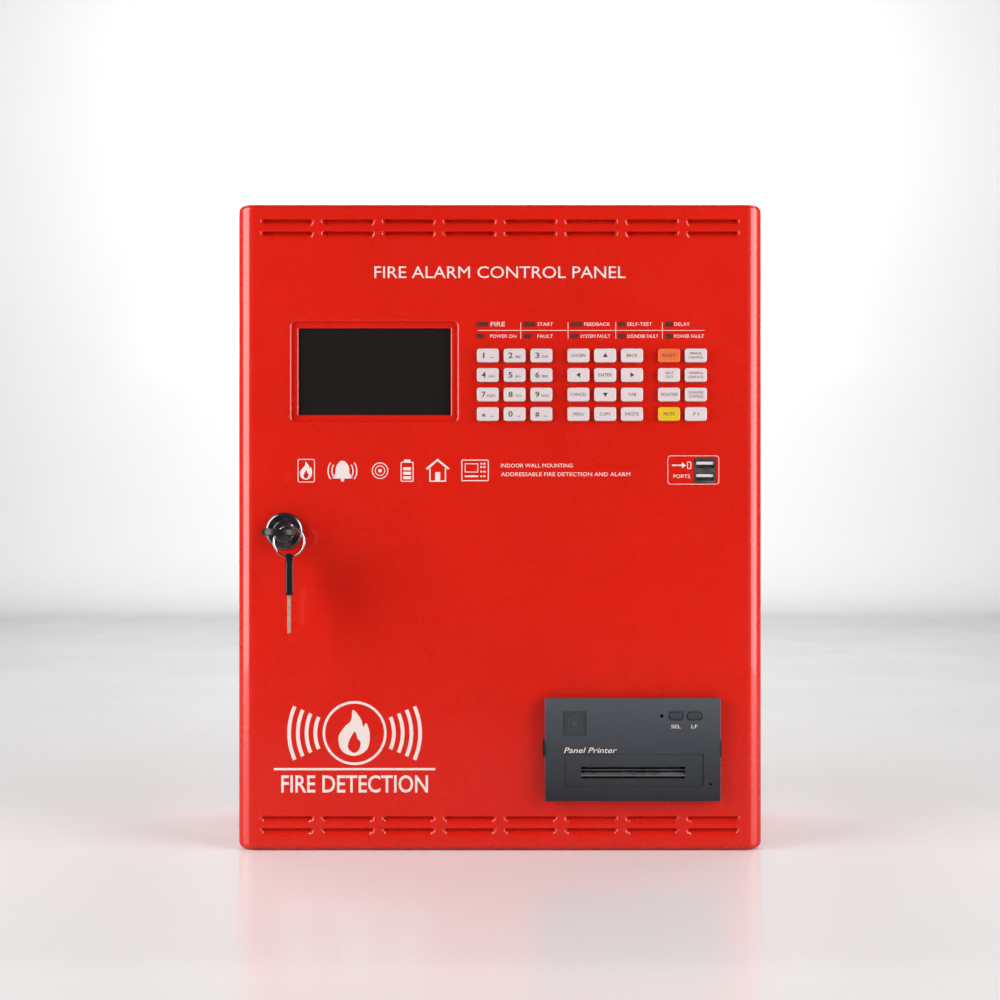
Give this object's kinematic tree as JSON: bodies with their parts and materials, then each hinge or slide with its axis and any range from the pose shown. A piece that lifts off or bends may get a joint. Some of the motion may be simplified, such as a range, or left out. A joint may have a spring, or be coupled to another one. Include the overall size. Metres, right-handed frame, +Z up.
{
  "type": "fire alarm control panel",
  "caption": "Wall-mounted steel fire alarm control panel: louvred hinged door with display, keypad, lamps, data sockets, cam lock with keys and a paper printer.",
  "frame": {"origin": "middle of the box's back face, on the wall", "axes": "+X to the viewer's right, +Z up, +Y out of the back face into the wall; the door faces -Y"},
  "size_m": [0.3382, 0.1579, 0.4148],
  "materials": {
    "red_paint": "gloss",
    "plated_steel": "satin",
    "lock_metal": "satin",
    "key_plastic": "satin",
    "ring_chrome": "gloss",
    "display_glass": "gloss",
    "black_plastic": "matte",
    "board_green": "satin",
    "lamp_lens": "gloss",
    "socket_steel": "satin",
    "printer_plastic": "matte",
    "printer_cover_plastic": "matte",
    "roller_rubber": "satin",
    "roll_paper": "matte",
    "button_plastic": "satin",
    "terminal_plastic": "satin",
    "supply_aluminium": "satin",
    "battery_plastic": "matte",
    "key_grey": "satin",
    "key_orange": "satin",
    "key_yellow": "satin"
  },
  "bodies": {
    "box": {"back_box": "red_paint", "hinge_pins": "plated_steel", "main_board": "board_green", "terminal_blocks": "terminal_plastic", "power_supply": "supply_aluminium", "batteries": "battery_plastic", "battery_bracket": "plated_steel", "box_screws": "plated_steel"},
    "door": {"door": "red_paint", "lock_housing": "lock_metal", "lock_nut": "plated_steel", "display_window": "display_glass", "display_module": "black_plastic", "front_board": "board_green", "led_lenses": "lamp_lens", "data_sockets": "socket_steel", "printer_housing": "printer_plastic", "door_screws": "plated_steel"},
    "lock_rotor": {"lock_cylinder": "lock_metal", "lock_cam": "plated_steel", "inserted_key": "key_plastic"},
    "key_ring": {"key_ring": "ring_chrome"},
    "spare_key": {"spare_key": "key_plastic"},
    "printer_cover": {"printer_cover": "printer_cover_plastic"},
    "platen": {"platen_roller": "roller_rubber"},
    "paper_roll": {"paper_roll": "roll_paper"},
    "sel_button": {"printer_sel_button": "button_plastic"},
    "lf_button": {"printer_lf_button": "button_plastic"},
    "key_1": {"key_1": "key_grey"},
    "key_2": {"key_2": "key_grey"},
    "key_3": {"key_3": "key_grey"},
    "key_login": {"key_login": "key_grey"},
    "key_up": {"key_up": "key_grey"},
    "key_back": {"key_back": "key_grey"},
    "key_reset": {"key_reset": "key_orange"},
    "key_manual_control": {"key_manual_control": "key_grey"},
    "key_4": {"key_4": "key_grey"},
    "key_5": {"key_5": "key_grey"},
    "key_6": {"key_6": "key_grey"},
    "key_left": {"key_left": "key_grey"},
    "key_enter": {"key_enter": "key_grey"},
    "key_right": {"key_right": "key_grey"},
    "key_self_test": {"key_self_test": "key_grey"},
    "key_general_linkage": {"key_general_linkage": "key_grey"},
    "key_7": {"key_7": "key_grey"},
    "key_8": {"key_8": "key_grey"},
    "key_9": {"key_9": "key_grey"},
    "key_cancel": {"key_cancel": "key_grey"},
    "key_down": {"key_down": "key_grey"},
    "key_tab": {"key_tab": "key_grey"},
    "key_isolation": {"key_isolation": "key_grey"},
    "key_sounder_control": {"key_sounder_control": "key_grey"},
    "key_star": {"key_star": "key_grey"},
    "key_0": {"key_0": "key_grey"},
    "key_hash": {"key_hash": "key_grey"},
    "key_menu": {"key_menu": "key_grey"},
    "key_copy": {"key_copy": "key_grey"},
    "key_paste": {"key_paste": "key_grey"},
    "key_mute": {"key_mute": "key_yellow"},
    "key_f1": {"key_f1": "key_grey"}
  },
  "joints": [
    {"name": "door_hinge", "type": "hinge", "parent": "box", "child": "door", "pos_m": [0.1661, -0.097, 0], "axis": [0, 0, 1], "range_deg": [0, 120]},
    {"name": "lock_turn", "type": "hinge", "parent": "door", "child": "lock_rotor", "pos_m": [-0.138, -0.12, -0.0027], "axis": [0, 1, 0], "range_deg": [0, 90]},
    {"name": "ring_turn", "type": "hinge", "parent": "lock_rotor", "child": "key_ring", "pos_m": [-0.131, -0.1468, -0.0087], "axis": [0, 1, 0], "range_deg": [-90, 0]},
    {"name": "spare_key_swing", "type": "hinge", "parent": "key_ring", "child": "spare_key", "pos_m": [-0.131, -0.1468, -0.0182], "axis": [0.9833, 0.1822, 0], "range_deg": [-60, 15]},
    {"name": "printer_cover_hinge", "type": "hinge", "parent": "door", "child": "printer_cover", "pos_m": [0.0846, -0.123, -0.17195], "axis": [1, 0, 0], "range_deg": [0, 80]},
    {"name": "paper_roll_spin", "type": "hinge", "parent": "door", "child": "paper_roll", "pos_m": [0.0846, -0.096, -0.133], "axis": [1, 0, 0], "continuous": true},
    {"name": "platen_spin", "type": "hinge", "parent": "door", "child": "platen", "pos_m": [0.0846, -0.1168, -0.1574], "axis": [1, 0, 0], "continuous": true},
    {"name": "sel_press", "type": "slide", "parent": "printer_cover", "child": "sel_button", "axis": [0, 1, 0], "range_m": [0, 0.0008]},
    {"name": "lf_press", "type": "slide", "parent": "printer_cover", "child": "lf_button", "axis": [0, 1, 0], "range_m": [0, 0.0008]},
    {"name": "key_1_press", "type": "slide", "parent": "door", "child": "key_1", "axis": [0, 1, 0], "range_m": [0, 0.001]},
    {"name": "key_2_press", "type": "slide", "parent": "door", "child": "key_2", "axis": [0, 1, 0], "range_m": [0, 0.001]},
    {"name": "key_3_press", "type": "slide", "parent": "door", "child": "key_3", "axis": [0, 1, 0], "range_m": [0, 0.001]},
    {"name": "key_login_press", "type": "slide", "parent": "door", "child": "key_login", "axis": [0, 1, 0], "range_m": [0, 0.001]},
    {"name": "key_up_press", "type": "slide", "parent": "door", "child": "key_up", "axis": [0, 1, 0], "range_m": [0, 0.001]},
    {"name": "key_back_press", "type": "slide", "parent": "door", "child": "key_back", "axis": [0, 1, 0], "range_m": [0, 0.001]},
    {"name": "key_reset_press", "type": "slide", "parent": "door", "child": "key_reset", "axis": [0, 1, 0], "range_m": [0, 0.001]},
    {"name": "key_manual_control_press", "type": "slide", "parent": "door", "child": "key_manual_control", "axis": [0, 1, 0], "range_m": [0, 0.001]},
    {"name": "key_4_press", "type": "slide", "parent": "door", "child": "key_4", "axis": [0, 1, 0], "range_m": [0, 0.001]},
    {"name": "key_5_press", "type": "slide", "parent": "door", "child": "key_5", "axis": [0, 1, 0], "range_m": [0, 0.001]},
    {"name": "key_6_press", "type": "slide", "parent": "door", "child": "key_6", "axis": [0, 1, 0], "range_m": [0, 0.001]},
    {"name": "key_left_press", "type": "slide", "parent": "door", "child": "key_left", "axis": [0, 1, 0], "range_m": [0, 0.001]},
    {"name": "key_enter_press", "type": "slide", "parent": "door", "child": "key_enter", "axis": [0, 1, 0], "range_m": [0, 0.001]},
    {"name": "key_right_press", "type": "slide", "parent": "door", "child": "key_right", "axis": [0, 1, 0], "range_m": [0, 0.001]},
    {"name": "key_self_test_press", "type": "slide", "parent": "door", "child": "key_self_test", "axis": [0, 1, 0], "range_m": [0, 0.001]},
    {"name": "key_general_linkage_press", "type": "slide", "parent": "door", "child": "key_general_linkage", "axis": [0, 1, 0], "range_m": [0, 0.001]},
    {"name": "key_7_press", "type": "slide", "parent": "door", "child": "key_7", "axis": [0, 1, 0], "range_m": [0, 0.001]},
    {"name": "key_8_press", "type": "slide", "parent": "door", "child": "key_8", "axis": [0, 1, 0], "range_m": [0, 0.001]},
    {"name": "key_9_press", "type": "slide", "parent": "door", "child": "key_9", "axis": [0, 1, 0], "range_m": [0, 0.001]},
    {"name": "key_cancel_press", "type": "slide", "parent": "door", "child": "key_cancel", "axis": [0, 1, 0], "range_m": [0, 0.001]},
    {"name": "key_down_press", "type": "slide", "parent": "door", "child": "key_down", "axis": [0, 1, 0], "range_m": [0, 0.001]},
    {"name": "key_tab_press", "type": "slide", "parent": "door", "child": "key_tab", "axis": [0, 1, 0], "range_m": [0, 0.001]},
    {"name": "key_isolation_press", "type": "slide", "parent": "door", "child": "key_isolation", "axis": [0, 1, 0], "range_m": [0, 0.001]},
    {"name": "key_sounder_control_press", "type": "slide", "parent": "door", "child": "key_sounder_control", "axis": [0, 1, 0], "range_m": [0, 0.001]},
    {"name": "key_star_press", "type": "slide", "parent": "door", "child": "key_star", "axis": [0, 1, 0], "range_m": [0, 0.001]},
    {"name": "key_0_press", "type": "slide", "parent": "door", "child": "key_0", "axis": [0, 1, 0], "range_m": [0, 0.001]},
    {"name": "key_hash_press", "type": "slide", "parent": "door", "child": "key_hash", "axis": [0, 1, 0], "range_m": [0, 0.001]},
    {"name": "key_menu_press", "type": "slide", "parent": "door", "child": "key_menu", "axis": [0, 1, 0], "range_m": [0, 0.001]},
    {"name": "key_copy_press", "type": "slide", "parent": "door", "child": "key_copy", "axis": [0, 1, 0], "range_m": [0, 0.001]},
    {"name": "key_paste_press", "type": "slide", "parent": "door", "child": "key_paste", "axis": [0, 1, 0], "range_m": [0, 0.001]},
    {"name": "key_mute_press", "type": "slide", "parent": "door", "child": "key_mute", "axis": [0, 1, 0], "range_m": [0, 0.001]},
    {"name": "key_f1_press", "type": "slide", "parent": "door", "child": "key_f1", "axis": [0, 1, 0], "range_m": [0, 0.001]}
  ],
  "couplings": [
    {"joint": "ring_turn", "follows": "lock_turn", "ratio": -1},
    {"joint": "platen_spin", "follows": "paper_roll_spin", "ratio": 3.75}
  ]
}
